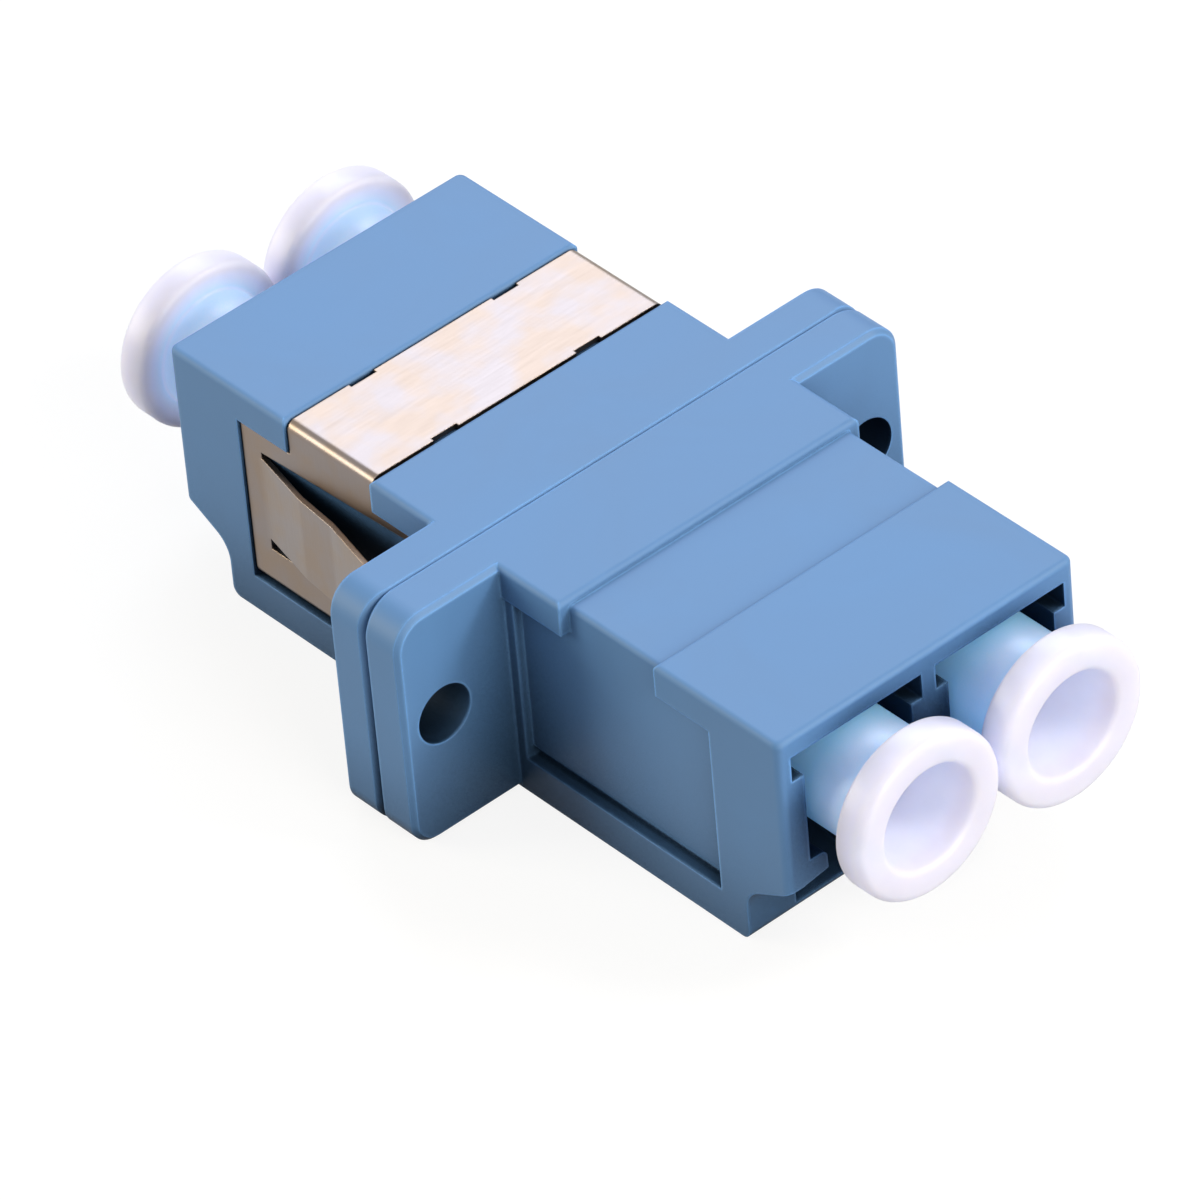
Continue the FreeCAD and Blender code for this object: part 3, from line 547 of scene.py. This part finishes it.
def turning_tree(material):
    """Geometry nodes that round a wire's corners, turn it about Y and put it in its seat."""
    tree = bpy.data.node_groups.new("turned_piece", "GeometryNodeTree")
    sizes = (
        ("Outline", "NodeSocketGeometry"), ("Path Radius", "NodeSocketFloat"),
        ("Facets", "NodeSocketInt"), ("Steps in a Round", "NodeSocketInt"),
        ("Turn", "NodeSocketVector"), ("Seat", "NodeSocketVector"),
    )
    for name, kind in sizes:
        tree.interface.new_socket(name, in_out="INPUT", socket_type=kind)
    tree.interface.new_socket("Geometry", in_out="OUTPUT", socket_type="NodeSocketGeometry")
    given = tree.nodes.new("NodeGroupInput").outputs

    wire = add_node(tree, "GeometryNodeMeshToCurve", [(given["Outline"], "Mesh")])
    size = add_node(tree, "GeometryNodeInputNamedAttribute", inputs={"Name": "round"},
                    data_type="FLOAT")
    rounded = add_node(tree, "GeometryNodeFilletCurve",
                       [(wire.outputs[0], "Curve"), (size.outputs[0], "Radius"),
                        (given["Steps in a Round"], "Count")],
                       {"Limit Radius": True}, mode="POLY")
    ring = add_node(tree, "GeometryNodeCurvePrimitiveCircle",
                    [(given["Facets"], "Resolution"), (given["Path Radius"], "Radius")],
                    mode="RADIUS")
    turned = add_node(tree, "GeometryNodeCurveToMesh",
                      [(ring.outputs["Curve"], "Curve"), (rounded.outputs[0], "Profile Curve")])
    closed = add_node(tree, "GeometryNodeMergeByDistance", [(turned.outputs[0], "Geometry")],
                      {"Distance": WELD_GAP})

    smooth = add_node(tree, "GeometryNodeSetShadeSmooth", [(closed.outputs[0], "Geometry")])
    angle = add_node(tree, "GeometryNodeInputMeshEdgeAngle")
    gentle = add_node(tree, "FunctionNodeCompare", [(angle.outputs[0], 0)], {1: CREASE},
                      operation="LESS_THAN")
    edged = add_node(tree, "GeometryNodeSetShadeSmooth",
                     [(smooth.outputs[0], "Geometry"), (gentle.outputs[0], "Shade Smooth")],
                     domain="EDGE")

    laid = add_node(tree, "GeometryNodeTransform", [(edged.outputs[0], "Geometry")],
                    {"Rotation": (math.radians(90), 0, 0)})
    seated = add_node(tree, "GeometryNodeTransform",
                      [(laid.outputs[0], "Geometry"), (given["Turn"], "Rotation"),
                       (given["Seat"], "Translation")])
    real = add_node(tree, "GeometryNodeRealizeInstances", [(seated.outputs[0], "Geometry")])
    coloured = add_node(tree, "GeometryNodeSetMaterial", [(real.outputs[0], "Geometry")],
                        {"Material": material})
    add_node(tree, "NodeGroupOutput", [(coloured.outputs[0], 0)])
    return tree


def turn_piece(name, wire, tree, values):
    """Runs the tree on a wire with named values, and leaves the result as a plain mesh object."""
    bpy.context.scene.collection.objects.link(wire)
    nodes = wire.modifiers.new("turning", "NODES")
    nodes.node_group = tree
    keys = {item.name: item.identifier
            for item in tree.interface.items_tree if item.in_out == "INPUT"}
    for label, value in values.items():
        nodes[keys[label]] = value
    graph = bpy.context.evaluated_depsgraph_get()
    mesh = bpy.data.meshes.new_from_object(wire.evaluated_get(graph))
    mesh.name = name
    piece = bpy.data.objects.new(name, mesh)
    bpy.context.scene.collection.objects.link(piece)
    bpy.data.objects.remove(wire)
    return piece


class ADAPTER_OT_caps(bpy.types.Operator):
    """Turn the four dust caps from one half section"""

    bl_idname = "adapter.caps"
    bl_label = "Dust Caps"

    def execute(self, context):
        settings = context.scene.adapter_caps
        tree = turning_tree(moulded_milky_polyethylene(settings))
        for node in CAPS:
            low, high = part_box(node)
            facing_rear = low.y > 0
            front = high.y if facing_rear else low.y
            outline = cap_outline(settings, high.y - low.y)
            wire = outline_wire(f"{node}_wire", outline, RING_RADIUS)
            piece = turn_piece(f"{node}_moulding", wire, tree, {
                "Path Radius": RING_RADIUS,
                "Facets": settings.facets,
                "Steps in a Round": ROUND_STEPS,
                "Turn": (0.0, 0.0, math.pi if facing_rear else 0.0),
                "Seat": ((low.x + high.x) / 2, front, (low.z + high.z) / 2),
            })
            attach(piece, f"{node}_body")
            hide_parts(node)
        return {"FINISHED"}


# Each soft box: its name, its place from the middle of the adapter and its width in metres, its
# power in watts, and its colour.
SOFT_BOXES = (
    ("rear_soft_box", (0.24, 0.30, 0.32), 0.25, 1.12, "DAE7FD"),
    ("left_soft_box", (-0.32, 0.35, 0.15), 0.25, 1.38, "FFF7E2"),
    ("front_soft_box", (-0.05, -0.41, 0.15), 0.25, 1.2, "FFF8EA"),
    ("front_key_box", (0.24, -0.30, 0.28), 0.12, 1.1, "FFF9F0"),
)


def add_soft_box(name, place, aim, width, power, code):
    """A square soft box at a place, turned towards a point."""
    data = bpy.data.lights.new(name, "AREA")
    data.shape = "SQUARE"
    data.size = width
    data.energy = power
    data.color = linear(code)
    lamp = bpy.data.objects.new(name, data)
    lamp.location = place
    lamp.rotation_euler = (aim - place).to_track_quat("-Z", "Y").to_euler()
    bpy.context.scene.collection.objects.link(lamp)


def lay_floor(settings, level):
    """One wide sheet just under the adapter."""
    mesh = bpy.data.meshes.new("floor_sheet")
    corners = [(x * FLOOR_REACH, y * FLOOR_REACH, level - FLOOR_GAP)
               for x, y in ((-1, -1), (1, -1), (1, 1), (-1, 1))]
    mesh.from_pydata(corners, [], [(0, 1, 2, 3)])
    mesh.materials.append(pale_sheet(settings))
    floor = bpy.data.objects.new("floor_sheet", mesh)
    bpy.context.scene.collection.objects.link(floor)
    floor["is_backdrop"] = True


def studio_world(settings):
    """A dim, even room for light, which is white where it is seen or mirrored."""
    world = bpy.data.worlds.new("studio")
    world.use_nodes = True
    tree = world.node_tree
    tree.nodes.clear()
    room = add_node(tree, "ShaderNodeBackground", inputs={"Color": opaque(settings.room_colour)})
    white = add_node(tree, "ShaderNodeBackground", inputs={"Color": (1, 1, 1, 1)})
    mix = add_node(tree, "ShaderNodeMixShader",
                   [(seen_directly(tree), 0), (room.outputs[0], 1), (white.outputs[0], 2)])
    add_node(tree, "ShaderNodeOutputWorld", [(mix.outputs[0], "Surface")])
    return world


def place_camera(settings):
    """A camera with its own axes worked out from its turn, height and tilt."""
    turn, height, tilt = settings.azimuth, settings.elevation, settings.roll
    back = Vector((math.sin(turn) * math.cos(height), -math.cos(turn) * math.cos(height),
                   math.sin(height)))
    right = Vector((math.cos(turn), math.sin(turn), 0))
    up = back.cross(right)
    side = right * math.cos(tilt) + up * math.sin(tilt)
    top = up * math.cos(tilt) - right * math.sin(tilt)
    data = bpy.data.cameras.new("camera")
    data.lens = settings.lens
    data.sensor_width = SENSOR
    data.shift_x, data.shift_y = LENS_SHIFT
    data.clip_start, data.clip_end = 0.01, 20
    camera = bpy.data.objects.new("camera", data)
    camera.matrix_world = Matrix((side, top, back)).transposed().to_4x4()
    camera.location = Vector(CAMERA_AIM) + back * settings.distance
    bpy.context.scene.collection.objects.link(camera)
    return camera


class ADAPTER_OT_stage(bpy.types.Operator):
    """Lay the floor and set the soft light and the camera"""

    bl_idname = "adapter.stage"
    bl_label = "Stage"

    def execute(self, context):
        settings = context.scene.adapter_stage
        scene = context.scene
        low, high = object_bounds()
        middle = (low + high) / 2
        lay_floor(settings, low.z)
        scene.world = studio_world(settings)
        for name, offset, width, power, code in SOFT_BOXES:
            add_soft_box(name, middle + Vector(offset), middle, width, power, code)
        scene.camera = place_camera(settings)
        scene.view_settings.view_transform = "Standard"
        return {"FINISHED"}


class ADAPTER_PT_panel(bpy.types.Panel):
    """Settings and buttons for the fibre adapter"""

    bl_idname = "ADAPTER_PT_panel"
    bl_label = "Fibre Adapter"
    bl_space_type = "VIEW_3D"
    bl_region_type = "UI"
    bl_category = "Adapter"

    def draw(self, context):
        for group, _, operator in GROUPS:
            box = self.layout.box()
            settings = getattr(context.scene, group)
            for name in settings.__annotations__:
                box.prop(settings, name)
            box.operator(operator.bl_idname)


GROUPS = (
    ("adapter_housing", HousingSettings, ADAPTER_OT_housing),
    ("adapter_clip", ClipSettings, ADAPTER_OT_clip),
    ("adapter_sleeves", SleeveSettings, ADAPTER_OT_sleeves),
    ("adapter_caps", CapSettings, ADAPTER_OT_caps),
    ("adapter_stage", StageSettings, ADAPTER_OT_stage),
)


def register():
    """Adds the settings, the operators and the panel."""
    for group, settings, operator in GROUPS:
        bpy.utils.register_class(settings)
        bpy.utils.register_class(operator)
        setattr(bpy.types.Scene, group, bpy.props.PointerProperty(type=settings))
    bpy.utils.register_class(ADAPTER_PT_panel)


def unregister():
    """Takes them away again."""
    bpy.utils.unregister_class(ADAPTER_PT_panel)
    for group, settings, operator in reversed(GROUPS):
        delattr(bpy.types.Scene, group)
        bpy.utils.unregister_class(operator)
        bpy.utils.unregister_class(settings)


def main():
    """Builds every piece and the stage."""
    register()
    bpy.ops.adapter.housing()
    bpy.ops.adapter.clip()
    bpy.ops.adapter.sleeves()
    bpy.ops.adapter.caps()
    bpy.ops.adapter.stage()


if __name__ == "__main__":
    main()
